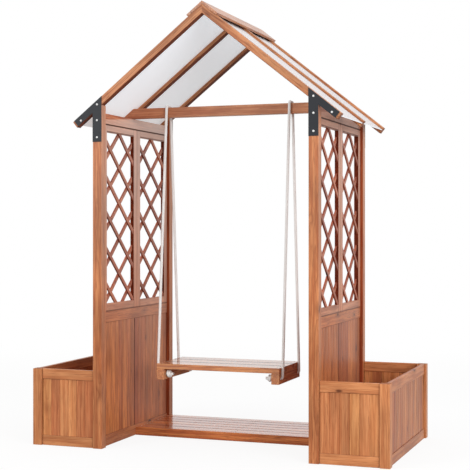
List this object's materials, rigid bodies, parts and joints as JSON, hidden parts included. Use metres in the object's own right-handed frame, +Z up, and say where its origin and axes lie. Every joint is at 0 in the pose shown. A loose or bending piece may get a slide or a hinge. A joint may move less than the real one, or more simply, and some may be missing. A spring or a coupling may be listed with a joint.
{
  "type": "garden swing bench",
  "caption": "Timber garden arch with a gable roof of opal sheets, lattice side walls, a plant box on each side, a low slatted deck and a slatted bench hung on ropes.",
  "frame": {"origin": "on the ground in the middle of the arch's footprint", "axes": "+X to the right of someone who faces the arch, +Y to its back, +Z up"},
  "size_m": [1.894, 0.9426, 2.2565],
  "materials": {
    "post_wood": "red-brown stain, satin",
    "frame_wood": "red-brown stain, satin",
    "board_wood": "red-brown stain, satin",
    "lath_wood": "red-brown stain, satin",
    "rafter_wood": "red-brown stain, satin",
    "deck_wood": "red-brown stain, glossy",
    "seat_wood": "red-brown stain, glossy",
    "opal_sheet": "opal, lets light through",
    "bracket_steel": "dark blue-grey powder coat",
    "rope_fibre": "off-white laid rope"
  },
  "bodies": {
    "frame": {"back_left_bracket": "bracket_steel", "back_left_post": "post_wood", "back_left_rafter": "rafter_wood", "back_left_sheet": "opal_sheet", "back_right_bracket": "bracket_steel", "back_right_post": "post_wood", "back_right_rafter": "rafter_wood", "back_right_sheet": "opal_sheet", "deck_back_rail": "deck_wood", "deck_fascia": "deck_wood", "deck_slats": "deck_wood", "front_left_bracket": "bracket_steel", "front_left_post": "post_wood", "front_left_rafter": "rafter_wood", "front_left_sheet": "opal_sheet", "front_right_bracket": "bracket_steel", "front_right_post": "post_wood", "front_right_rafter": "rafter_wood", "front_right_sheet": "opal_sheet", "left_back_lattice": "lath_wood", "left_back_lattice_frame": "frame_wood", "left_front_lattice": "lath_wood", "left_front_lattice_frame": "frame_wood", "left_planter_back_panel": "board_wood", "left_planter_back_post": "post_wood", "left_planter_floor": "deck_wood", "left_planter_front_panel": "board_wood", "left_planter_front_post": "post_wood", "left_planter_side_panel": "board_wood", "left_ridge_board": "rafter_wood", "left_rope_saddle": "rope_fibre", "left_top_plate": "post_wood", "left_wall_panel": "board_wood", "middle_left_rafter": "rafter_wood", "middle_right_rafter": "rafter_wood", "right_back_lattice": "lath_wood", "right_back_lattice_frame": "frame_wood", "right_front_lattice": "lath_wood", "right_front_lattice_frame": "frame_wood", "right_planter_back_panel": "board_wood", "right_planter_back_post": "post_wood", "right_planter_floor": "deck_wood", "right_planter_front_panel": "board_wood", "right_planter_front_post": "post_wood", "right_planter_side_panel": "board_wood", "right_ridge_board": "rafter_wood", "right_rope_saddle": "rope_fibre", "right_top_plate": "post_wood", "right_wall_panel": "board_wood", "swing_beam": "rafter_wood"},
    "swing": {"left_bearer": "seat_wood", "left_rope_back_fall": "rope_fibre", "left_rope_front_fall": "rope_fibre", "right_bearer": "seat_wood", "right_rope_back_fall": "rope_fibre", "right_rope_front_fall": "rope_fibre", "seat_slat_back": "seat_wood", "seat_slat_front": "seat_wood", "seat_slat_middle": "seat_wood"}
  },
  "joints": [
    {"name": "swing_hinge", "type": "hinge", "parent": "frame", "child": "swing", "pos_m": [-0.0145, -0.0403, 1.7498], "axis": [1, 0, 0], "range_deg": [-30, 30]}
  ]
}
